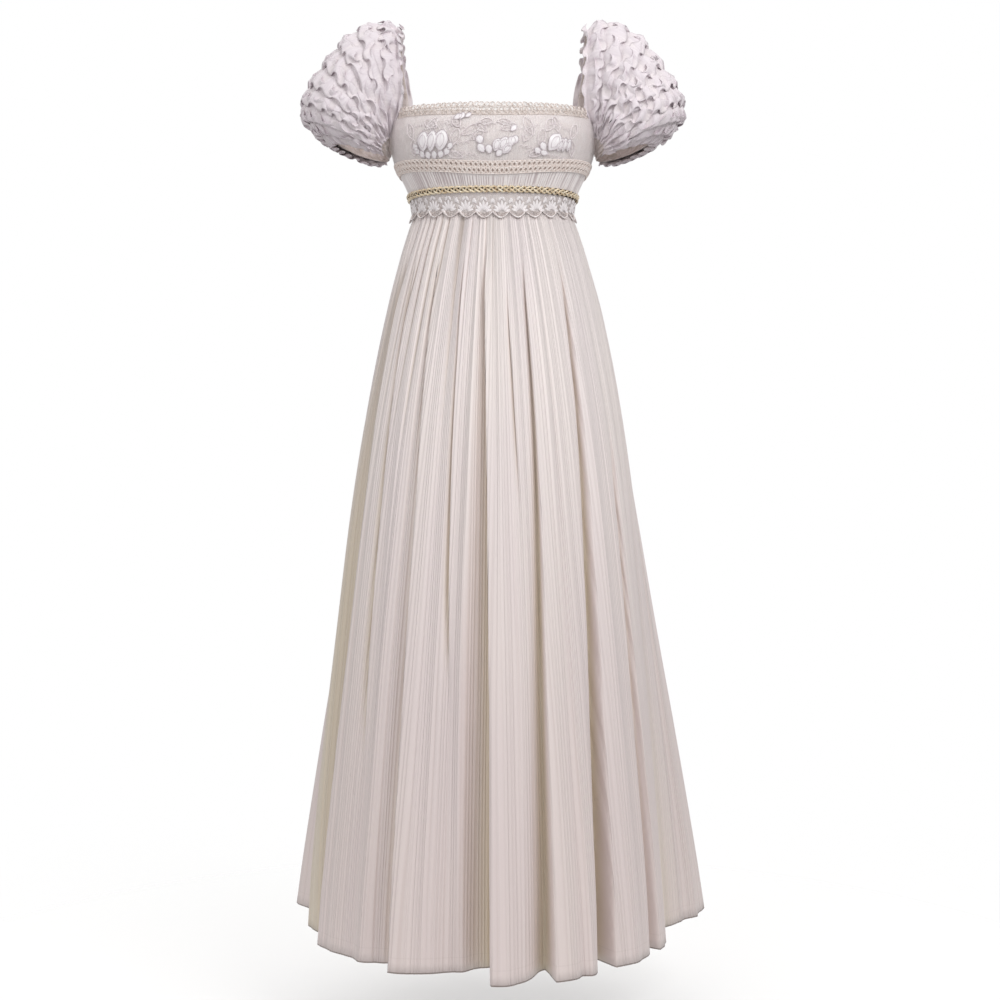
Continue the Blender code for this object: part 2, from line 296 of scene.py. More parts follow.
class Finish(Nodes):
    # a material under way

    def __init__(self, name, roughness, sheen=0.0, sheenRoughness=0.5, **constants):
        self.material = bpy.data.materials.new(name)
        self.material.use_nodes = True
        super().__init__(self.material.node_tree)
        self.shader = self.tree.nodes["Principled BSDF"]
        self.shader.inputs["Roughness"].default_value = roughness
        self.shader.inputs["Sheen Weight"].default_value = sheen
        self.shader.inputs["Sheen Roughness"].default_value = sheenRoughness
        for slot, value in constants.items():
            self.shader.inputs[slot.replace("_", " ")].default_value = value

    def uv(self):
        # across and up the cloth, each from 0 to 1
        both = self.node("TexCoord", output="UV")
        split = self.node("SeparateXYZ", values={"Vector": both})
        return split, Wire(self.tree, split.socket.node.outputs[1])

    def attribute(self, name):
        return self.node("Attribute", {"attribute_name": name}, output="Fac")

    def noise(self, x, y, z=0.0, detail=2.0):
        place = self.node("CombineXYZ", values={0: x, 1: y, 2: z})
        return self.node("TexNoise", None, {"Vector": place, "Scale": 1.0, "Detail": detail})

    def objectNoise(self, scale, detail=2.0):
        place = self.node("TexCoord", output="Object")
        return self.node("TexNoise", None, {"Vector": place, "Scale": scale, "Detail": detail})

    def blend(self, factor, first, second):
        # from one screen colour to another
        made = self.node("Mix", {"data_type": "RGBA"}, output="Result")
        node = made.socket.node
        for slot, value in ((0, factor), (6, first), (7, second)):
            if isinstance(value, Wire):
                self.tree.links.new(value.socket, node.inputs[slot])
            else:
                node.inputs[slot].default_value = value if slot == 0 else (*tint(*value), 1)
        return Wire(self.tree, node.outputs[2])

    def bump(self, height, distance, strength=1.0, under=None):
        values = {"Height": height, "Distance": distance, "Strength": strength}
        if under:
            values["Normal"] = under
        return self.node("Bump", None, values)

    def feed(self, **sockets):
        for slot, wire in sockets.items():
            self.tree.links.new(wire.socket, self.shader.inputs[slot.replace("_", " ")])
        return self.material


def showPiece(name, mesh, finish, node=None):
    piece = bpy.data.objects.new(name, mesh)
    bpy.context.scene.collection.objects.link(piece)
    mesh.materials.clear()
    mesh.materials.append(finish)
    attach(piece, "root")
    if node:
        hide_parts(node)
    return piece


def newWork():
    work = bmesh.new()
    work.loops.layers.uv.new("UVMap")
    return work


def meshOf(work, name):
    mesh = bpy.data.meshes.new(name)
    work.to_mesh(mesh)
    work.free()
    mesh.shade_smooth()
    return mesh


def coordinates(mesh):
    values = np.empty(len(mesh.vertices) * 3)
    mesh.vertices.foreach_get("co", values)
    return values.reshape(-1, 3)


def clothPiece(name, columns, rows, place, finish, node, wall, closed=False):
    # cloth on a grid: place(u, v) gives the points, and the painted shading of each one, which its finish
    # paints as shade and light
    work = newWork()
    bmesh.ops.create_grid(work, x_segments=columns, y_segments=rows, size=0.5, calc_uvs=True)
    mesh = meshOf(work, name)
    across = coordinates(mesh) + 0.5
    points, paintedShading = place(across[:, 0], across[:, 1])
    mesh.vertices.foreach_set("co", points.ravel())
    mesh.attributes.new("paintedShading", "FLOAT", "POINT").data.foreach_set("value", np.asarray(paintedShading, float))
    if closed:
        work = bmesh.new()
        work.from_mesh(mesh)
        bmesh.ops.remove_doubles(work, verts=work.verts, dist=1e-6)
        work.to_mesh(mesh)
        work.free()
    mesh.update()
    mesh.shade_smooth()
    piece = showPiece(name, mesh, finish, node)
    if wall:
        thickness = piece.modifiers.new("Cloth", "SOLIDIFY")
        thickness.thickness = wall
        thickness.offset = -1
    return piece


def arcTable(height):
    # angles round the gown and the distance along its outline to each, from the front centre
    degrees = np.linspace(-180, 180, 1441)
    points = bodyPoint(degrees, np.full(1441, height))
    steps = np.linalg.norm(np.diff(points, axis=0), axis=1)
    along = np.concatenate(([0.0], np.cumsum(steps)))
    return degrees, along - along[720]


def wrapped(mesh, height, lift=None):
    # bends flat work round the gown: x is the way round, z the height and -y the distance off the outline
    degrees, along = arcTable(height)
    x, y, z = coordinates(mesh).T
    angles = np.interp(x, along, degrees)
    extra = lift(angles, z) if lift else 0.0
    mesh.vertices.foreach_set("co", bodyPoint(angles, z, extra - y).ravel())
    mesh.update()
    return mesh


def cordMesh(name, lines):
    # round cords: each line is (points, radius, closed)
    curve = bpy.data.curves.new(name, "CURVE")
    curve.dimensions = "3D"
    curve.bevel_depth = 1.0
    curve.bevel_resolution = 1
    curve.use_fill_caps = True
    for points, radius, closed in lines:
        spline = curve.splines.new("POLY")
        spline.points.add(len(points) - 1)
        spline.points.foreach_set("co", np.column_stack((points, np.ones(len(points)))).ravel())
        spline.points.foreach_set("radius", np.broadcast_to(np.asarray(radius, float), len(points)).ravel())
        spline.use_cyclic_u = closed
    carrier = bpy.data.objects.new(name, curve)
    bpy.context.scene.collection.objects.link(carrier)
    mesh = bpy.data.meshes.new_from_object(carrier)
    bpy.data.objects.remove(carrier)
    bpy.data.curves.remove(curve)
    mesh.name = name
    mesh.shade_smooth()
    return mesh


def cordPiece(name, lines, finish, bendHeight=None, lift=None):
    # cords as one piece, worked flat and then wrapped round the gown if a height is given
    mesh = cordMesh(name, lines)
    if bendHeight:
        wrapped(mesh, bendHeight, lift)
    return showPiece(name, mesh, finish)


# Stage: pale floor, soft light, camera.
studio = {"floor": -1.52, "room": 0.62, "key": 27.0, "fill": 13.0, "back": 20.0, "glow": 0.24}


def buildStage():
    scene = bpy.context.scene
    scene.view_settings.view_transform = "Standard"
    work = bmesh.new()
    bmesh.ops.create_circle(work, cap_ends=True, segments=96, radius=4.0)
    floorMesh = meshOf(work, "floor")
    floorMesh.transform(Matrix.Translation((0, 0, studio["floor"])))
    floor = bpy.data.objects.new("floor", floorMesh)
    scene.collection.objects.link(floor)
    paint = Finish("pale studio floor", 0.9)
    place = paint.node("TexCoord", output="Object")
    far = paint.node("VectorMath", {"operation": "LENGTH"}, {0: place}, output="Value")
    paint.shader.inputs["Base Color"].default_value = (0.78, 0.78, 0.78, 1)
    paint.shader.inputs["Emission Color"].default_value = (1, 1, 1, 1)
    paint.shader.inputs["Emission Strength"].default_value = studio["glow"]
    floorMesh.materials.append(paint.feed(Alpha=1 - far.between(0.9, 2.4)))

    world = bpy.data.worlds.new("studio")
    scene.world = world
    world.use_nodes = True
    world.node_tree.nodes.remove(world.node_tree.nodes["Background"])
    sky = Nodes(world.node_tree)
    direction = sky.node("TexCoord", output="Generated")
    up = sky.node("SeparateXYZ", values={0: direction}, output="Z")
    room = (up.between(-0.5, 0.9) * 0.8 + 0.52) * studio["room"]
    lit = sky.node("Background", values={"Color": (1, 0.985, 0.975, 1), "Strength": room})
    plain = sky.node("Background", values={"Color": (1, 1, 1, 1)})
    seen = sky.node("LightPath", output="Is Camera Ray")
    both = sky.node("MixShader", values={0: seen, 1: lit, 2: plain})
    sky.tree.links.new(both.socket, sky.tree.nodes["World Output"].inputs[0])

    for name, place, size, power in (
        ("key light", (1.25, -1.9, 0.85), 1.3, studio["key"]),
        ("fill light", (-1.6, -2.2, 0.2), 2.2, studio["fill"]),
        ("back light", (-0.6, 2.4, 1.3), 2.0, studio["back"]),
    ):
        lamp = bpy.data.lights.new(name, "AREA")
        lamp.size = size
        lamp.energy = power
        holder = bpy.data.objects.new(name, lamp)
        scene.collection.objects.link(holder)
        holder.location = place
        aim = Vector((0, 0, -0.55)) - holder.location
        holder.rotation_euler = aim.to_track_quat("-Z", "Y").to_euler()

    lens = bpy.data.cameras.new("camera")
    lens.lens = 57.8
    lens.sensor_width = 36
    camera = bpy.data.objects.new("camera", lens)
    scene.collection.objects.link(camera)
    camera.location = (0.011, -2.49, -0.7285)
    camera.rotation_euler = (math.radians(90), 0, 0)
    scene.camera = camera


buildStage()
print("stage ready")

# Skirt: crinkle-pleated chiffon on a gathered waist.
skirt = {
    "columns": 600, "rows": 74, "backColumns": 420, "backRows": 60,
    "gathers": 54, "gatherDepth": 0.0042, "gatherEnd": -0.66,
    "tubes": 48, "tubeDepth": 0.0022, "pleats": 180, "pleatDepth": 0.0012,
    "crinkles": 165.0, "wall": 0.0005,
}
# Folds of the front: each ridge laps over the hollow on its left. Angle of the edge at the waist, half way
# and at the hem, height where it starts and ends, depth of the hollow and its width in degrees at the hem,
# rise of the ridge, degrees in shade at the hem, how dark the shade. One that reaches the hem ends past it.
pastHem = -9.0
folds = (
    (-66, -61.5, -63, -0.33, pastHem, 0.034, 16.0, 0.006, 24.0, 1.9),
    (-57, -50.5, -46, -0.32, -1.15, 0.014, 4.0, 0.004, 3.8, 1.5),
    (-39, -31, -27.5, -0.33, pastHem, 0.048, 7.0, 0.007, 5.0, 1.3),
    (-20, -16.5, -12, -0.32, -1.05, 0.014, 3.6, 0.003, 3.2, 1.1),
    (-4.5, -1.0, 1.0, -0.32, pastHem, 0.076, 14.0, 0.008, 7.0, 1.0),
    (8.5, 10.5, 10, -0.38, -0.8, 0.012, 2.4, 0.002, 3.2, 1.0),
    (22, 19.5, 16.8, -0.33, pastHem, 0.05, 6.5, 0.006, 4.6, 1.0),
    (49, 43, 36.5, -0.34, pastHem, 0.05, 6.0, 0.006, 4.6, 1.0),
    (66, 62, 58, -0.6, pastHem, 0.022, 4.0, 0.004, 3.0, 0.6),
)
# Lesser folds: angle at the waist, angle at the hem, how far in or out at the hem, half width in degrees
lesserFolds = (
    (-72, -70, -0.01, 3.0), (-44, -41, 0.006, 2.6), (-36, -36, -0.006, 2.0), (-10, -9, 0.01, 2.2),
    (3, 3, 0.004, 2.4), (30, 24, -0.006, 1.6), (47, 43, 0.006, 3.0),
    (-90, -92, -0.01, 3.0), (92, 94, -0.01, 3.0),
    (98, 100, -0.012, 2.6), (112, 114, -0.014, 2.8), (-104, -106, -0.016, 3.0), (-120, -121, -0.01, 2.6),
    (-170, -172, -0.012, 2.4), (157, 156, -0.014, 2.6), (130, 130, -0.012, 2.2), (-147, -147, -0.01, 2.2),
)
# Folds of the back that lean over the hollow beside them: angle at the waist and at the hem, degrees of lean,
# half width in degrees, height where the lean is greatest, how far it runs up and down
leans = (
    (-160, -158, 4.0, 4.5, -1.0, 0.55), (-137, -139, -4.0, 4.5, -0.9, 0.5), (142, 140, 4.2, 4.5, -1.0, 0.6),
    (168, 166, -3.6, 4.0, -0.9, 0.5), (118, 117, 3.4, 4.5, -0.9, 0.5), (96, 98, -3.0, 4.0, -0.95, 0.5),
)


def downAt(height):
    # 0 at the waist, 1 at the hem
    return np.clip((height + 0.3) / (hem + 0.3), 0, 1)


def leanAt(degrees, height):
    shift = np.zeros_like(degrees)
    for top, low, lean, width, peak, run in leans:
        away = (degrees - top - (low - top) * downAt(height) + 180) % 360 - 180
        shift += lean * bell(away, width) * bell(height - peak, run, 4)
    return shift


def foldsAt(degrees, height):
    # how far the folds move the cloth out and sideways, and its painted shading: painted shade in a hollow,
    # below 0 for a painted highlight on a crest
    down = downAt(height)
    reach, shift, paintedShading = np.zeros_like(degrees), np.zeros_like(degrees), np.zeros_like(degrees)
    for number, (top, middle, low, start, stop, depth, width, rise, dim, dark) in enumerate(folds):
        edge = np.interp(down, (0, 0.2, 0.39, 0.7, 1),
                         (top, middle + (top - middle) * 0.38, middle, (middle * 0.42 + low * 0.58), low))
        edge = edge + 0.5 * softNoise(np.full_like(height, number + 0.4), height * 3.0, 70 + number)
        away = degrees - edge
        grown = np.clip((start - height) / (start - hem), 0, 1)
        here = ease((start - height) / 0.12) * ease((height - stop) / 0.22)
        deep = (depth * (0.75 * grown ** 1.15 + 0.25 * grown ** 6) + 0.004) * here
        spread = width * (0.24 + 0.76 * down ** 1.2)
        side = ease((away + 0.55) / 1.1)  # 0 in the hollow, 1 on the ridge
        inside = bell(np.minimum(away, 0), spread, 2.4)
        crest = bell(np.maximum(away, 0), spread * 0.8 + 3.0, 1.5)
        reach += here * rise * (0.35 + 0.65 * down) * crest * side - deep * inside * (1 - side)
        lap = np.minimum(1.8, 0.7 + depth * 16) * here
        shift -= lap * bell(away - 0.35, 1.5) * side
        dim = dim * (0.4 + 0.6 * down)
        # painted shade in the hollow beside each edge, and a painted highlight along the ridge just past it
        shade = bell(np.maximum(-away - 0.2, 0), dim, 1.4) * (1 - side) * here * dark
        light = bell(away - 1.0, 0.8) * here * 0.3
        paintedShading = np.maximum(paintedShading, shade) - light
    return reach, shift, paintedShading


def skirtRelief(degrees, height):
    # how far all that is smaller than the deep folds moves the cloth out, and its painted shading
    s = (degrees + 180) / 360
    down = downAt(height)
    right = bell(degrees + 52, 34)  # the wearer's right front is gathered more deeply

    phase = s * skirt["gathers"] + 0.8 * softNoise(s * 27, height * 1.4, 11, 27)
    rib = np.abs(np.sin(np.pi * phase))
    gathered = np.clip((height - skirt["gatherEnd"]) / (-0.3 - skirt["gatherEnd"]), 0, 1) ** 0.8
    gathered = gathered * (0.35 + 0.65 * ease((-0.296 - height) / 0.022))
    strength = np.clip(0.3 + 1.75 * right + 0.4 * softNoise(s * 54, height * 0.8, 12, 54), 0.1, 2.1)
    gather = (rib ** 0.6 - 0.8) * gathered * strength
    grooveShade = (1 - ease(rib / 0.42)) * gathered * strength

    wide = s * skirt["tubes"] + 0.5 * softNoise(s * 24, height * 0.8, 21, 24)
    grown = ease((-height - 0.34) / 0.22) * (1 - 0.4 * down)
    tube = (np.abs(np.sin(np.pi * wide)) ** 0.8 * 2 - 1) * grown
    tube = tube * (0.5 + 0.5 * softNoise(s * 48, height * 0.7, 22, 48))

    drift = 0.6 * softNoise(s * 30, height * 2.0, 5, 30) + 0.25 * softNoise(s * 60, height * 7.0, 6, 60)
    pleat = softNoise(s * skirt["pleats"] + drift, height * 0.6, 31, skirt["pleats"])
    pleat = np.sign(pleat) * np.abs(pleat) ** 0.8 * (0.08 + 0.55 * down)

    relief = gather * skirt["gatherDepth"] + tube * skirt["tubeDepth"] + pleat * skirt["pleatDepth"]
    relief = relief - 0.006 * bell(degrees + 88, 30) * bell(height + 0.5, 0.18)
    for top, low, reach, width in lesserFolds:
        wander = softNoise(np.full_like(height, 3.3), height * 2, int(top) + 900)
        centre = top + (low - top) * down + 1.2 * wander
        away = (degrees - centre + 180) % 360 - 180
        relief = relief + reach * ease(down * 2.2) * bell(away, width)
    # painted shade in the grooves of the gathers, painted lighter on the crests of the tubes and pleats
    paintedShading = np.clip(grooveShade * 0.85 - tube * 0.1 - pleat * 0.08, -0.2, 1.2)
    return relief, paintedShading


def skirtPanel(middle):
    def place(u, v):
        degrees = middle - 90 + 180 * u
        folded = (degrees + 180) % 360 - 180
        top = levelAt("seam", degrees) - gap
        height = top + (hem - top) * (1 - v)
        relief, paintedShading = skirtRelief(folded, height)
        seam = ease(np.minimum(u, 1 - u) * 90)
        deep = creaseAt(folded, height)
        reach, shift, shade = foldsAt(folded, height)
        # painted shade where the cloth lies deeper than the creases round it
        nearby = sum(creaseAt((folded + turn + 180) % 360 - 180, height) for turn in (-15, -8, 8, 15)) / 4
        paintedShading = np.maximum(paintedShading + np.clip((nearby - deep) / 0.05, -0.2, 0.8), shade)
        turned = degrees + (leanAt(folded, height) + shift) * seam
        points = bodyPoint(turned, height, deep + (relief + reach) * (0.35 + 0.65 * seam))
        points[:, 1] += np.where(u < 1e-6, 1, 0) * (gap / 2 if middle else -gap / 2)
        return points, paintedShading
    return place


def chiffonFinish(name):
    # crinkle pleats that run unbroken from waist to hem
    pleats = skirt["crinkles"]
    paint = Finish(name, 0.62, sheen=0.25, sheenRoughness=0.45, Specular_IOR_Level=0.28)
    u, v = paint.uv()
    paintedShading = paint.attribute("paintedShading")
    drift = paint.noise(u * 24.0, v * 1.6, detail=1.0) * 1.5
    drift = drift + paint.noise(u * 70.0, v * 3.0, 4.0, detail=0.0) * 0.15
    spread = paint.noise(u * 60.0, v * 0.5, 9.0, detail=1.0) * 3.0
    rib = (u * pleats + drift + spread).math("PINGPONG", 0.5) * 2  # 0 in a crease, 1 on top of a pleat
    fineRib = (u * (pleats * 2.3) + drift * 2 + spread * 2.2).math("PINGPONG", 0.5) * 2
    uneven = paint.noise(u * (pleats * 0.8), v * 1.2, 5.0, detail=1.0).between(0.35, 0.65)
    # painted shade in the creases between the pleats, stronger towards the hem
    creaseShade = (1 - rib.between(0.0, 0.42)) * (uneven * 0.75 + 0.25)
    fineCreaseShade = (1 - fineRib.between(0.0, 0.5)) * (1.0 - uneven * 0.5)
    broad = paint.noise(u * 9.0, v * 2.0, 3.0, detail=3.0)
    weave = paint.noise(u * 3000.0, v * 1400.0, 7.0, detail=0.0)
    cloth = paint.blend(broad.between(0.3, 0.7), (246, 237, 234), (241, 231, 231))
    lower = 1 - v.between(0.25, 1.0) * 0.6
    cloth = paint.blend((creaseShade * 0.45 + fineCreaseShade * 0.08) * lower, cloth, (205, 191, 188))
    # painted shade: darker towards the hem, where less light reaches from above
    cloth = paint.blend((1 - v.between(0.0, 1.0)) * 0.5, cloth, (202, 185, 181))
    # painted shade in the hollows of the folds, khaki near the hem and greyer higher up, darker still in the
    # deepest; a painted highlight on the crests
    deep = paint.blend(v.between(0.45, 0.95), (220, 208, 184), (202, 188, 178))
    cloth = paint.blend(paintedShading.between(0.1, 1.0) * 0.75, cloth, deep)
    cloth = paint.blend(paintedShading.between(0.9, 1.9) * 0.65, cloth, (168, 152, 142))
    cloth = paint.blend((0 - paintedShading).between(0.1, 0.5) * 0.2, cloth, (250, 244, 239))
    hemBand = v.between(0.0182, 0.019) * (1 - v.between(0.0192, 0.0206))
    cloth = paint.blend(hemBand * 0.14, cloth, (188, 174, 168))
    cloth = paint.blend((1 - v.between(0.0012, 0.0022)) * 0.75, cloth, (136, 120, 112))
    rough = rib * 0.12 + 0.52
    folds = paint.bump(rib.between(0.0, 0.9) + fineRib * 0.12, 0.0008, 1.0)
    return paint.feed(Base_Color=cloth, Roughness=rough, Normal=paint.bump(weave, 0.00012, 0.5, folds))


def buildSkirt():
    for name, middle, columns, rows in (
        ("skirt_front_chiffon", 0, skirt["columns"], skirt["rows"]),
        ("skirt_back_chiffon", 180, skirt["backColumns"], skirt["backRows"]),
    ):
        node = "skirt_back" if middle else "skirt_front"
        finish = chiffonFinish(name.replace("_", " "))
        piece = clothPiece(name, columns, rows, skirtPanel(middle), finish,
                           node, skirt["wall"])


buildSkirt()
print("skirt ready")

# Bodice: satin shirred all over, more deeply between the crochet and the braid.
bodice = {"columns": 480, "backColumns": 250, "rows": 24, "wall": 0.0008,
          "shirring": 168, "depth": 0.0007, "gathers": 172, "bandDepth": 0.0024}


def panelTop(degrees):
    top = levelAt("panelTop", degrees)
    folded = (degrees + 180) % 360 - 180
    nearSide = np.abs(np.abs(folded) - 90) < 90 - armhole["corner"]
    return np.where(nearSide, np.minimum(top, armholeHeight(degrees) - 0.0022), top)


def inBand(height, degrees):
    # 1 on the open band of gathers, 0 above and below it
    low, high = levelAt("braidTop", degrees), levelAt("crochetBottom", degrees)
    return ease((height - low + 0.002) / 0.003) * ease((high + 0.001 - height) / 0.003)


def bodiceRelief(degrees, height):
    s = (degrees + 180) / 360
    wander = 0.5 * softNoise(s * 84, height * 25, 41, 84)
    fine = np.abs(np.sin(np.pi * (s * bodice["shirring"] + wander)))
    fine = fine * (0.6 + 0.6 * softNoise(s * 168, height * 30, 42, 168))
    wave = np.abs(np.sin(np.pi * (s * bodice["gathers"] + 0.75 * softNoise(s * 75, height * 4, 43, 75))))
    wave = wave ** 0.8 * (0.75 + 0.45 * softNoise(s * 150, height * 3, 44, 150))
    band = inBand(height, degrees)
    relief = -bodice["depth"] * (1 - fine) * (1 - band) + bodice["bandDepth"] * (wave - 0.75) * band
    right = bell(degrees + 40, 26)
    # painted shade: dark lines in the hollows between the band's gathers, stronger on the wearer's right, and
    # a little in the shirring
    gatherShade = np.clip((1 - wave) * 1.15, 0, 1) ** 1.8
    return relief, np.clip(gatherShade * band * (1.1 + 0.9 * right) + 0.4 * (1 - fine) * (1 - band), 0, 1.4)


def bodicePanel(middle):
    def place(u, v):
        degrees = middle - 90 + 180 * u
        low = levelAt("seam", degrees)
        height = low + (panelTop(degrees) - low) * v
        relief, paintedShading = bodiceRelief(degrees, height)
        side = np.minimum(u, 1 - u)
        points = bodyPoint(degrees, height, relief * ease(side * 120))
        points[:, 1] += np.where(side < 1e-6, gap / 2 if middle else -gap / 2, 0)
        return points, paintedShading
    return place


def satinFinish(name):
    paint = Finish(name, 0.5, sheen=0.15, Specular_IOR_Level=0.4)
    u, v = paint.uv()
    paintedShading = paint.attribute("paintedShading")
    lines = paint.noise(u * 260.0, v * 9.0, detail=2.0)
    cloth = paint.blend(lines.between(0.35, 0.65), (247, 239, 238), (254, 249, 249))
    # painted shade in the hollows of the gathers and the shirring
    cloth = paint.blend(paintedShading.between(0.25, 1.0) * 0.75, cloth, (198, 183, 185))
    rough = lines.between(0.3, 0.7) * 0.16 + 0.4
    return paint.feed(Base_Color=cloth, Roughness=rough, Normal=paint.bump(lines, 0.0006, 0.8))


def buildBodice():
    for name, middle in (("bodice_front_satin", 0), ("bodice_back_satin", 180)):
        node = "bodice_back" if middle else "bodice_front"
        columns = bodice["backColumns" if middle else "columns"]
        finish = satinFinish(name.replace("_", " "))
        piece = clothPiece(name, columns, bodice["rows"], bodicePanel(middle), finish,
                           node, bodice["wall"])


buildBodice()
print("bodice ready")



# Lace: shared threads, petals and grounds. Flat work lies in the XZ plane, faces -Y, and is wrapped later.
def netFinish(name, across, up, cells, colour, holes, veil):
    # a net of fine threads, across by up in metres; veil is how much its cells hide
    paint = Finish(name, 0.6, sheen=0.1, Specular_IOR_Level=0.3)
    u, v = paint.uv()
    place = paint.node("CombineXYZ", values={0: u * (across / cells), 1: v * (up / cells), 2: 0.0})
    edge = paint.node("TexVoronoi", {"feature": "DISTANCE_TO_EDGE", "voronoi_dimensions": "2D"},
                      {"Vector": place, "Scale": 1.0, "Randomness": 0.45}, output="Distance")
    thread = 1 - edge.between(0.035, 0.1)
    mottle = paint.noise(u * (across * 90), v * (up * 90), detail=2.0)
    cloth = paint.blend(mottle.between(0.35, 0.65), colour, holes)
    clear = thread * (1 - veil) + veil
    return paint.feed(Base_Color=cloth, Alpha=clear, Normal=paint.bump(thread, 0.0003, 0.9))


def threadFinish(name, light, dark, roughness=0.55, twist=420.0, specular=0.4):
    paint = Finish(name, roughness, sheen=0.1, Specular_IOR_Level=specular)
    fibre = paint.objectNoise(twist, 1.0)
    broad = paint.objectNoise(60.0, 2.0)
    cloth = paint.blend(fibre.between(0.38, 0.62), dark, light)
    cloth = paint.blend(broad.between(0.45, 0.75) * 0.35, cloth, dark)
    return paint.feed(Base_Color=cloth, Roughness=fibre * 0.2 + (roughness - 0.1),
                      Normal=paint.bump(fibre, 0.0004, 0.7))


def petalFinish(name, light, shade):
    # satin stitch: fine threads along the petal, glossy
    paint = Finish(name, 0.3, Specular_IOR_Level=0.6)
    u, v = paint.uv()
    stitch = paint.noise(u * 16.0, v * 2.0, detail=1.0)
    cloth = paint.blend(stitch.between(0.3, 0.7), shade, light)
    rough = stitch * 0.2 + 0.2
    return paint.feed(Base_Color=cloth, Roughness=rough, Normal=paint.bump(stitch, 0.0005, 0.8))


def petalSide(along):
    # how wide a petal is along its length, beside its widest
    return max(0.0, 1 - (2 * along - 1) ** 2) ** 0.78 * (0.86 + 0.26 * along)


def leaned(foot, lean, right, up):
    # a flat point, to the right of a foot and up from it along a line this many degrees off upright
    turn = math.radians(lean)
    return (foot[0] + right * math.cos(turn) + up * math.sin(turn),
            foot[1] + up * math.cos(turn) - right * math.sin(turn))


def petalMesh(name, petals, lift):
    # each petal: x, z of its foot, direction in degrees from upright, length, width, how full
    work = newWork()
    for x, z, lean, length, width, full in petals:
        made = bmesh.ops.create_grid(work, x_segments=6, y_segments=9, size=0.5, calc_uvs=True)
        for vert in made["verts"]:
            across, along = vert.co.x * 2, vert.co.y + 0.5
            side = max(0.05, petalSide(along))
            rise = full * (1 - across ** 4) * (1 - 0.45 * bell(across + 0.15, 0.22))
            rise *= math.sin(math.pi * min(max(along, 0.0), 1.0)) ** 0.5
            px, pz = leaned((x, z), lean, across * side * width / 2, along * length)
            vert.co = (px, -lift - rise, pz)
    return meshOf(work, name)


def petalRim(x, z, lean, length, width):
    # the outline of a petal, as flat points
    points = []
    for step in range(18):
        turn = 2 * math.pi * step / 18
        along = 0.5 - 0.5 * math.cos(turn)
        side = petalSide(along) * math.copysign(1, math.sin(turn))
        points.append(leaned((x, z), lean, side * width / 2, along * length))
    return np.array(points)


class Threads:
    # cords laid flat on the cloth, above its own lift

    def __init__(self, lift):
        self.lift, self.lines = lift, []

    def lay(self, x, z, radius, above=0.0003, closed=False):
        points = np.column_stack((x, np.full(len(x), -self.lift - above), z))
        self.lines.append((points, radius, closed))

    def ring(self, x, z, wide, high, radius, above=0.0003, corners=14):
        turn = np.linspace(0, 2 * np.pi, corners + 1)[:-1]
        self.lay(x + wide * np.sin(turn), z + high * np.cos(turn), radius, above, True)


# Bodice lace: three sprays of satin petals, corded leaves and scrolls on net.
overlay = {"columns": 220, "rows": 26, "halfTurn": 84, "longPetal": 0.0185, "lift": 0.0014,
           "bendHeight": -0.19}
sprays = (  # in millimetres: x and z of the foot, lean in degrees, length, width, fullness
    (-108.5, -210.5, 8, 30.25, 20.4, 1.87), (-95.5, -211.5, 12, 31.9, 16.83, 1.98),
    (-79.5, -212, 10, 31.9, 21.93, 1.98), (-118.5, -207.5, -30, 12.1, 9.18, 0.99),
    (-115, -212, -48, 12.1, 8.67, 0.99), (-108.5, -218.5, -30, 11.55, 9.18, 0.99),
    (-100, -221.5, -10, 11.55, 9.69, 0.88), (-90.5, -222, 4, 11.55, 9.69, 0.88),
    (-81, -221.5, 18, 11.55, 9.69, 0.88), (-72, -218, 34, 12.1, 9.18, 0.88),
    (-66, -211, 30, 12.1, 8.16, 0.88), (-12.5, -216, -34, 14.3, 10.71, 1.21),
    (-17.5, -204, -8, 13.2, 11.22, 1.21), (-4, -218, -10, 13.2, 10.2, 1.1),
    (3, -215, 18, 19.8, 12.24, 1.54), (10, -213, 30, 22, 13.26, 1.65), (15, -218, 40, 18.7, 11.22, 1.43),
    (6, -221.5, 40, 11, 8.67, 0.99), (22.5, -208, 28, 16.5, 11.73, 1.32), (31, -204, 14, 13.2, 10.2, 1.21),
    (27, -185, 40, 13.2, 7.65, 0.99), (85, -210.5, 34, 30.8, 20.4, 1.87), (100, -211, 20, 22, 9.69, 1.43),
    (108.5, -210, 12, 20.9, 10.2, 1.43), (117.5, -208.5, 8, 18.7, 9.69, 1.21),
    (79, -211, -30, 13.2, 10.2, 1.1), (73, -215, -60, 12.1, 8.67, 0.88), (85, -215, -84, 13.2, 7.65, 0.88),
    (-60, -164, 60, 13.2, 8.67, 0.99), (-50, -165, 20, 11.55, 8.67, 0.99),
    (-42.5, -162, 50, 10.45, 7.14, 0.88),
)
leaves = (  # tone on tone, outlined only, in the same order
    (-60, -205, 20, 26, 14), (-45, -190, 60, 30, 13), (-50, -178, -30, 22, 12),
    (-28, -198, 48, 20, 10), (-125, -190, -20, 26, 12), (-128, -214, 10, 24, 11),
    (45, -200, 30, 24, 13), (60, -190, -20, 30, 14), (70, -205, 12, 26, 12),
    (80, -182, 38, 26, 13), (100, -182, -8, 24, 12), (122, -190, 26, 26, 12),
    (130, -215, -16, 24, 11), (12, -182, 70, 24, 12), (-8, -186, -50, 22, 11),
    (-85, -176, -60, 24, 12), (-100, -178, 40, 22, 11), (55, -220, 70, 22, 9),
    (-45, -222, -74, 24, 9), (-20, -170, 85, 20, 10), (30, -172, -80, 22, 10),
)


def scallopLine(start, stop, bumps, height):
    # a row of small arcs from one flat point to another
    t = np.linspace(0, 1, bumps * 8 + 1)
    across = np.array((-(stop - start)[1], (stop - start)[0]))
    across = across / np.linalg.norm(across)
    return start + np.outer(t, stop - start) + np.outer(np.abs(np.sin(np.pi * bumps * t)) * height, across)


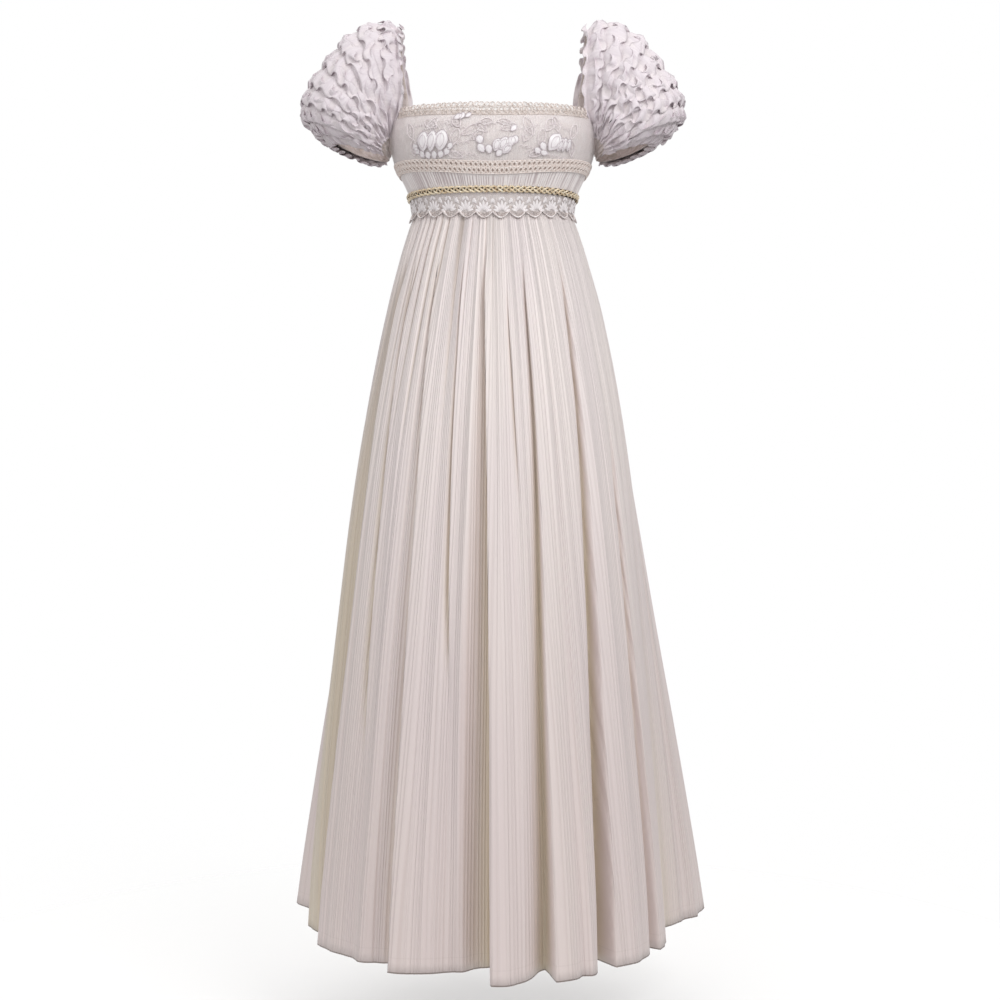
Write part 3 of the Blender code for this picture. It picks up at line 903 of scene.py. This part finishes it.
def overlayPlace(u, v):
    degrees = overlay["halfTurn"] * (2 * u - 1)
    low = levelAt("crochetTop", degrees) + gap
    high = np.minimum(panelTop(degrees) - 0.0005, levelAt("neckBottom", degrees)) - gap
    height = low + (high - low) * v
    swell = 0.0004 * softNoise(u * 22 + v * 3, v * 5, 51) + 0.0002 * softNoise(u * 120, v * 5, 52)
    swell = swell + 0.0006 * np.sin(v * 9 + 6 * softNoise(u * 9, v * 2, 53)) * ease(v * 3 - 1.2)
    return bodyPoint(degrees, height, overlay["lift"] + swell), u * 0


def buildOverlay():
    net = netFinish("bodice net", 0.44, 0.068, 0.0019, (252, 246, 245), (240, 231, 229), 0.2)
    piece = clothPiece("bodice_lace_net", overlay["columns"], overlay["rows"], overlayPlace, net,
                       "lace_overlay", 0)
    bend, lift = overlay["bendHeight"], overlay["lift"]
    sewn = [(x * mm, z * mm, lean, length * mm, width * mm, full * mm)
            for x, z, lean, length, width, full in sprays]
    satin = showPiece("bodice_lace_petals", wrapped(petalMesh("petals", sewn, lift + 0.0004), bend),
                      petalFinish("white satin petals", (255, 253, 254), (241, 233, 238)))
    outlines, tones = Threads(lift), Threads(lift)
    for x, z, lean, length, width, full in sewn:
        outlines.lay(*petalRim(x, z, lean, length * 1.02, width * 1.05).T, 0.00042, 0.0012, True)
        if length > overlay["longPetal"]:
            inner = petalRim(*leaned((x, z), lean, 0, length * 0.17), lean, length * 0.66, width * 0.56)
            outlines.lay(*inner.T, 0.0003, 0.0003 + full, True)
    for x, z, lean, length, width in leaves:
        x, z, length, width = x * mm, z * mm, length * mm, width * mm
        tones.lay(*petalRim(x, z, lean, length, width).T, 0.00072, closed=True)
        tip = leaned((x, z), lean, 0, length * 0.8)
        tones.lay(*zip((x, z), tip), 0.0004)
        for share in (0.3, 0.6):
            mid = (x + (tip[0] - x) * share, z + (tip[1] - z) * share)
            for side in (-48, 48):
                tones.lay(*zip(mid, leaned(mid, lean + side, 0, width * 0.36)), 0.00034)
    for start, stop, bumps in (
        ((-66, -207), (-34, -203), 4), ((-34, -203), (-24, -190), 3),
        ((-75, -171), (-40, -183), 5), ((38, -208), (74, -214), 5),
        ((40, -184), (72, -176), 4), ((90, -172), (124, -180), 5),
        ((-130, -176), (-104, -170), 4), ((-12, -179), (20, -171), 4),
        ((50, -216), (120, -222), 9), ((-60, -216), (-24, -222), 5),
    ):
        tones.lay(*scallopLine(np.array(start) * mm, np.array(stop) * mm, bumps, 0.004).T, 0.00048)
    for i in range(7):
        left = -0.112 + i * 0.0072
        across = (left, left + 0.014)
        tones.lay(across, (-0.184, -0.1645), 0.00042)
        tones.lay(across[::-1], (-0.184, -0.1645), 0.00042, 0.0005)
    cord = threadFinish("petal outline cord", (226, 216, 220), (192, 181, 186))
    edge = cordPiece("bodice_lace_outlines", outlines.lines, cord, bend)
    cord = threadFinish("leaf cord", (247, 240, 241), (224, 213, 216))
    scrolls = cordPiece("bodice_lace_leaves", tones.lines, cord, bend)


buildOverlay()
print("bodice lace ready")

# Neck lace: a strip of corded loops that stands along the front neckline.
neck = {"columns": 200, "rows": 8, "halfTurn": 67, "pitch": 0.0082, "lift": 0.0012, "bendHeight": -0.148}


def neckPlace(u, v):
    degrees = neck["halfTurn"] * (2 * u - 1)
    low, high = levelAt("neckBottom", degrees), levelAt("neckTop", degrees) - 0.0045
    return bodyPoint(degrees, low + (high - low) * v, neck["lift"] - 0.0003), u * 0


def buildNeckLace():
    degrees, along = arcTable(neck["bendHeight"])
    half = float(np.interp(neck["halfTurn"], degrees, along))
    net = netFinish("neck lace ground", half * 2, 0.018, 0.0024, (244, 234, 228), (230, 217, 207), 0.22)
    piece = clothPiece("neck_lace_ground", neck["columns"], neck["rows"], neckPlace, net,
                       "neck_lace", 0)
    count = int(2 * half / neck["pitch"])
    pitch = 2 * half / count
    chance = np.random.default_rng(7)
    steps = np.linspace(0, 1, 5)
    cords = Threads(neck["lift"])
    for i in range(count):
        x = -half + pitch * (i + 0.5) + chance.uniform(-0.0006, 0.0006)
        here = float(np.interp(x, along, degrees))
        top, low = float(levelAt("neckTop", here)), float(levelAt("neckBottom", here))
        size = chance.uniform(0.0034, 0.0042)
        centre = top - size + chance.uniform(-0.0002, 0.0014)
        cords.ring(x, centre, size * 0.95, size, chance.uniform(0.0008, 0.00105), 0.0004)
        cords.ring(x, centre, size * 0.45, size * 0.45, 0.00042, 0.0002)
        cords.ring(x, low + (top - low) * chance.uniform(0.36, 0.48), 0.0023, 0.0021, 0.00052)
        for side in (-1, 1):
            rise = low + 0.0008 + (centre - size - low) * steps
            cords.lay(x + side * pitch * (0.5 - steps), rise, 0.0005, 0.0002)
    x = np.linspace(-half, half, 140)
    here = np.interp(x, along, degrees)
    low, top = levelAt("neckBottom", here), levelAt("neckTop", here)
    ripple = 0.0007 * np.sin(x * 1100 + 2 * np.sin(x * 90))
    for share, radius in ((0.06, 0.00045), (0.6, 0.0006)):
        cords.lay(x, low + (top - low) * share + ripple, radius)
    cord = threadFinish("neck lace cord", (243, 233, 228), (200, 186, 178))
    loops = cordPiece("neck_lace_loops", cords.lines, cord, neck["bendHeight"])


buildNeckLace()
print("neck lace ready")

# Crochet insertion: two rows of holes between borders, threads crossing.
crochet = {"repeats": 53, "lift": 0.0012, "thread": 0.00082, "twin": 0.00072, "columns": 360, "rows": 6,
           "wall": 0.0003}


def bandPlace(lowName, highName, lift, lowGap, highGap):
    def place(u, v):
        degrees = 360 * u - 180
        low, high = levelAt(lowName, degrees) + lowGap, levelAt(highName, degrees) - highGap
        return bodyPoint(degrees, low + (high - low) * v, lift), u * 0
    return place


def buildCrochet():
    # painted shade in the holes: the ground under the threads is painted much darker than the satin it covers
    ground = Finish("crochet ground", 0.75, sheen=0.1)
    u, v = ground.uv()
    fuzz = ground.noise(u * 900.0, v * 18.0, detail=2.0)
    colour = ground.blend(fuzz.between(0.35, 0.65), (170, 150, 141), (202, 186, 177))
    finish = ground.feed(Base_Color=colour, Normal=ground.bump(fuzz, 0.0004, 0.8))
    piece = clothPiece("crochet_hole_shade", crochet["columns"], crochet["rows"],
                       bandPlace("crochetBottom", "crochetTop", 0.0006, 0.0005, 0.0005), finish,
                       "crochet_band", crochet["wall"], closed=True)
    cords = []
    degrees = np.arange(-180, 180)
    bottom, top = levelAt("crochetBottom", degrees), levelAt("crochetTop", degrees)
    for share, radius, lift in ((0.035, 0.00085, 0.0012), (0.965, 0.00085, 0.0012),
                                (0.5, 0.0007, 0.0013), (0.135, 0.00055, 0.001), (0.865, 0.00055, 0.001)):
        cords.append((bodyPoint(degrees, bottom + (top - bottom) * share, lift), radius, True))
    steps = np.arange(crochet["repeats"] * 8)
    degrees = -180 + steps * 360 / len(steps)
    bottom, top = levelAt("crochetBottom", degrees), levelAt("crochetTop", degrees)
    for row, (low, high) in enumerate(((0.06, 0.5), (0.5, 0.94))):
        for lean in (-1, 1):
            phase = steps / 8 + row * 0.25
            swing = np.abs((phase % 1) * 2 - 1)
            swing = swing if lean > 0 else 1 - swing
            share = low + (high - low) * (0.75 * swing + 0.25 * ease(swing))
            lift = crochet["lift"] + 0.0005 * lean * np.cos(2 * np.pi * phase)
            for twin in (-1, 1):
                height = bottom + (top - bottom) * share + twin * crochet["twin"]
                cords.append((bodyPoint(degrees, height, lift), crochet["thread"], True))
    cotton = threadFinish("crochet cotton cord", (254, 246, 242), (238, 223, 216), 0.7, 520.0, 0.25)
    threads = cordPiece("crochet_threads", cords, cotton)


buildCrochet()
print("crochet ready")

# Gold braid: three fat strands, plaited flat, each of one cord with a thin one along either side.
braid = {"repeats": 25, "steps": 16, "spread": 0.0037, "cord": 0.00108, "thin": 0.00036, "twin": 0.00118,
         "lift": 0.0027, "over": 0.0015, "columns": 360, "rows": 4, "wall": 0.0004}


def buildBraid():
    count = braid["repeats"] * braid["steps"]
    degrees = -180 + np.arange(count) * 360 / count
    phase = 2 * np.pi * np.arange(count) / braid["steps"]
    middle = (levelAt("braidBottom", degrees) + levelAt("braidTop", degrees)) / 2
    around = 0.75  # length round the gown at the braid
    cords = []
    for strand in range(3):
        turn = phase + 2 * np.pi * strand / 3
        slope = np.arctan(braid["spread"] * np.cos(turn) * 2 * np.pi * braid["repeats"] / around)
        over = braid["over"] * np.sin(2 * turn)
        for twin, radius in ((0, braid["cord"]), (-1, braid["thin"]), (1, braid["thin"])):
            shift = twin * braid["twin"]
            height = middle + braid["spread"] * np.sin(turn) + shift * np.cos(slope)
            along = degrees - shift * np.sin(slope) / around * 360
            cords.append((bodyPoint(along, height, braid["lift"] + over), radius, True))
    paint = Finish("gold thread", 0.3, Specular_IOR_Level=0.6, Coat_Weight=0.6, Coat_Roughness=0.15)
    paint.shader.inputs["Metallic"].default_value = 0.25
    fibre = paint.objectNoise(900.0, 1.0)
    broad = paint.objectNoise(140.0, 2.0)
    gold = paint.blend(fibre.between(0.35, 0.65), (244, 216, 170), (255, 252, 238))
    gold = paint.blend(broad.between(0.42, 0.75) * 0.5, gold, (184, 146, 96))
    finish = paint.feed(Base_Color=gold, Roughness=fibre * 0.25 + 0.22, Normal=paint.bump(fibre, 0.0005, 0.9))
    # painted shade in the gaps of the plait: a dark sheet behind the strands
    ground = Finish("braid backing", 0.8)
    grain = ground.objectNoise(800.0, 1.0)
    gapShade = ground.blend(grain, (44, 32, 18), (70, 54, 32))
    piece = clothPiece("gold_braid_backing", braid["columns"], braid["rows"],
                       bandPlace("braidBottom", "braidTop", 0.0008, 0.0027, 0.0022),
                       ground.feed(Base_Color=gapShade, Normal=ground.bump(grain, 0.0003, 0.6)),
                       "gold_braid", braid["wall"], closed=True)
    cord = cordPiece("gold_braid_cords", cords, finish)


buildBraid()
print("braid ready")

# Waist lace: fans of satin petals on net, with a corded, pointed, scalloped lower edge.
waist = {"repeats": 26, "columns": 780, "rows": 10, "drop": 0.0068, "notch": 0.0098, "lift": 0.0012,
         "bendHeight": -0.2915}


def waistLift(degrees, height):
    # off the outline, more where the lace hangs over the gathers of the skirt
    seam = levelAt("seam", degrees)
    return 0.0015 * ease((seam + 0.006 - height) / 0.009)


def scallopDrop(degrees):
    # how far the edge rises above the tips: 0 at a tip, 1 at a cusp
    phase = (degrees + 180) / 360 * waist["repeats"]
    away = np.abs(phase % 1 - 0.5) * 2
    return away ** 1.7


def waistPlace(u, v):
    degrees = 360 * u - 180
    tip = levelAt("seam", degrees) - waist["drop"]
    low = tip + waist["notch"] * scallopDrop(degrees)
    high = levelAt("braidBottom", degrees) + 0.0016
    height = low + (high - low) * v
    return bodyPoint(degrees, height, waist["lift"] + waistLift(degrees, height)), u * 0


def buildWaistLace():
    degrees, along = arcTable(waist["bendHeight"])
    around = along[-1] - along[0]
    pitch = around / waist["repeats"]
    net = netFinish("waist lace ground", around, 0.034, 0.002, (246, 238, 236), (228, 216, 214), 0.22)
    piece = clothPiece("waist_lace_ground", waist["columns"], waist["rows"], waistPlace, net,
                       "waist_lace", 0, closed=True)
    petals, cords, bright = [], Threads(waist["lift"]), Threads(waist["lift"])
    for i in range(waist["repeats"]):
        x = along[0] + pitch * (i + 0.5)
        here = np.array(float(np.interp(x, along, degrees)))
        tip = float(levelAt("seam", here)) - waist["drop"]
        for lean, reach in ((-66, 0.009), (-42, 0.0115), (-20, 0.014), (0, 0.0155),
                            (20, 0.014), (42, 0.0115), (66, 0.009)):
            turned = math.radians(lean)
            foot = (x + 0.0045 * math.sin(turned), tip + 0.0075 + 0.004 * math.cos(turned))
            petals.append((*foot, lean, reach, 0.0042, 0.0012))
        for side in (-1, 1):
            petals.append((x + side * 0.0105, tip + 0.0215, side * 28, 0.0085, 0.0044, 0.001))
            petals.append((x + side * 0.005, tip + 0.025, side * -34, 0.008, 0.004, 0.001))
        for dx, dz, size in ((0, 0.0052, 0.0018), (-0.0046, 0.0068, 0.0016), (0.0046, 0.0068, 0.0016),
                             (-0.009, 0.0098, 0.0015), (0.009, 0.0098, 0.0015), (-0.0132, 0.015, 0.0015)):
            cords.ring(x + dx, tip + dz, size, size, 0.00042, 0.0005, 10)
    for sideOfTip, radius in ((-1, 0.00135), (1, 0.00085)):
        for i in range(waist["repeats"]):
            x = along[0] + pitch * (i + 0.5)
            steps = x + sideOfTip * np.linspace(0.0, 0.5, 9) * pitch
            here = np.interp(steps, along, degrees)
            tip = levelAt("seam", here) - waist["drop"]
            height = tip + waist["notch"] * scallopDrop(here)
            taper = radius * (0.55 + 0.45 * np.sin(np.linspace(0.25, 1, 9) * np.pi))
            bright.lay(steps, height, taper, 0.0006)
            inner = height + 0.0026 + 0.0006 * np.sin(np.linspace(0, 6 * np.pi, 9))
            cords.lay(steps, inner, 0.00045, 0.0004)
    bend = waist["bendHeight"]
    fans = wrapped(petalMesh("fans", petals, waist["lift"] + 0.0002), bend, waistLift)
    fan = showPiece("waist_lace_petals", fans,
                    petalFinish("waist satin petals", (255, 252, 253), (238, 229, 231)))
    satin = threadFinish("white satin cord", (255, 250, 250), (226, 214, 212), 0.35, 500.0, 0.6)
    edge = cordPiece("waist_lace_cord", bright.lines, satin, bend, waistLift)
    thread = threadFinish("waist lace thread", (236, 226, 222), (186, 172, 168))
    fine = cordPiece("waist_lace_threads", cords.lines, thread, bend, waistLift)


buildWaistLace()
print("waist lace ready")

# Sleeves: a crinkled puff, and gathered ruffles stitched round it along a line near their upper edge.
puff = {"columns": 132, "rows": 52, "wall": 0.0006}
ruffle = {
    "count": 9, "firstRow": 0.12, "halfTurn": 146, "foot": 0.0012, "stand": 0.011,
    "columns": 300, "rows": 13, "stitch": 0.4, "wall": 0.0004,
    "cutWidth": 0.034, "cutLengths": (0.5, 0.59, 0.6, 0.63, 0.59, 0.53, 0.49, 0.42, 0.37),
    "upper": 0.52, "lower": 1.0, "wave": 0.0048, "tuck": 0.0023, "scallop": 0.0058, "waves": 17,
    "reach": 0.015,
}


def sideOf(points, side):
    points = points.copy()
    points[:, 0] *= side
    return points


def puffPlace(side):
    def place(u, v):
        degrees = (360 * u - 180) * side
        where = v * (len(puffRings) - 1e-6)
        point, forward, down, out = puffFrame(where, degrees)
        s = (degrees + 180) / 360
        crinkle = softNoise(s * 60 + side * 7, where * 1.3, 61, 60)
        crinkle = crinkle + 0.6 * softNoise(s * 110, where * 3, 62, 110)
        held = ease(v * 9) * ease((1 - v) * 7)
        # with painted shading where the crinkle dips
        return sideOf(point + out * (0.0016 * crinkle * held)[:, None], side), np.clip(0.5 - crinkle, 0, 1)
    return place


def ruffleFinish(name):
    paint = Finish(name, 0.6, sheen=0.25, sheenRoughness=0.45, Specular_IOR_Level=0.2)
    u, v = paint.uv()
    paintedShading = paint.attribute("paintedShading")
    crinkle = paint.noise(u * 150.0, v * 2.5, detail=2.0)
    grain = paint.objectNoise(900.0, 0.0)
    cloth = paint.blend(crinkle.between(0.35, 0.65), (236, 228, 233), (229, 220, 226))
    # painted light: the troughs and the cloth by the stitching are painted lighter, filling in their shade
    cloth = paint.blend(paintedShading.between(0.1, 0.9) * 0.6, cloth, (249, 241, 237))
    rim = (1 - v.between(0.012, 0.03)) + v.between(0.97, 0.988)
    cloth = paint.blend(rim * 0.4, cloth, (204, 193, 199))
    folds = paint.bump(crinkle, 0.0009, 0.8)
    return paint.feed(Base_Color=cloth, Normal=paint.bump(grain, 0.00015, 0.5, folds))


def rufflePlace(side, number):
    spacing = (len(puffRings) - ruffle["firstRow"]) / (ruffle["count"] + 0.2)
    seed = 100 + number * 7 + (50 if side < 0 else 0)

    def place(u, v):
        degrees = ruffle["halfTurn"] * (2 * u - 1) * side
        t = v - ruffle["stitch"]  # below the stitching, or above it where negative
        below = np.clip(t / (1 - ruffle["stitch"]), 0, 1)
        above = np.clip(-t / ruffle["stitch"], 0, 1)
        free = below + above
        where = ruffle["firstRow"] + spacing * (number + below * ruffle["lower"] - above * ruffle["upper"])
        where = np.clip(where, 0.0, len(puffRings) - 1e-6)
        point, forward, down, out = puffFrame(where, degrees)
        end = 1 - 0.55 * ease((np.abs(degrees) - 108) / (ruffle["halfTurn"] - 108))
        along = (degrees + 180) / 360
        wander = 0.8 * softNoise(along * 9, below * 0.6 + above * 0.9, seed)
        phase = 2 * np.pi * (along * ruffle["waves"] + wander)
        size = 0.75 + 0.45 * softNoise(along * 11, free * 0.4, seed + 1)
        crest, started = np.sin(phase), free ** 0.6
        rise = ruffle["foot"] + end * (
            ruffle["stand"] * (0.9 * above ** 0.7 + below ** 0.6 * (1 - 0.25 * below))
            + ruffle["wave"] * started * size * crest)
        rise = rise + 0.0014 * started * softNoise(along * 42, v * 2.4, seed + 3)
        rise = ruffle["reach"] * np.tanh(np.maximum(rise, ruffle["foot"] * 0.7) / ruffle["reach"])
        swing = -end * ruffle["tuck"] * started * size * np.sin(2 * phase)
        drop = -end * ruffle["scallop"] * size * crest * (below - above)
        points = point + out * rise[:, None] + forward * swing[:, None] + down * drop[:, None]
        # painted shading, highest in the troughs and by the stitching
        paintedShading = np.clip(0.42 - 0.45 * crest * started * size - 0.35 * free, 0, 1)
        return sideOf(points, side), paintedShading
    return place


def buildSleeves():
    for side, word in ((1, "left"), (-1, "right")):
        paint = Finish("puff chiffon " + word, 0.62, sheen=0.25)
        u, v = paint.uv()
        crinkle = paint.noise(u * 150.0, v * 12.0, detail=3.0)
        cloth = paint.blend(crinkle.between(0.35, 0.65), (240, 230, 228), (228, 217, 214))
        # painted shade in the dips of the crinkle
        cloth = paint.blend(paint.attribute("paintedShading").between(0.3, 1.0) * 0.6, cloth, (204, 190, 180))
        finish = paint.feed(Base_Color=cloth, Normal=paint.bump(crinkle, 0.0016, 0.8))
        piece = clothPiece("sleeve_%s_puff" % word, puff["columns"], puff["rows"], puffPlace(side), finish,
                           "sleeve_" + word, puff["wall"], closed=True)
        for number in range(ruffle["count"]):
            name = "ruffle_%s_%d" % (word, number + 1)
            strip = clothPiece(name + "_frill", ruffle["columns"], ruffle["rows"], rufflePlace(side, number),
                               ruffleFinish(name.replace("_", " ") + " chiffon"), name,
                               ruffle["wall"])


buildSleeves()
print("sleeves ready")
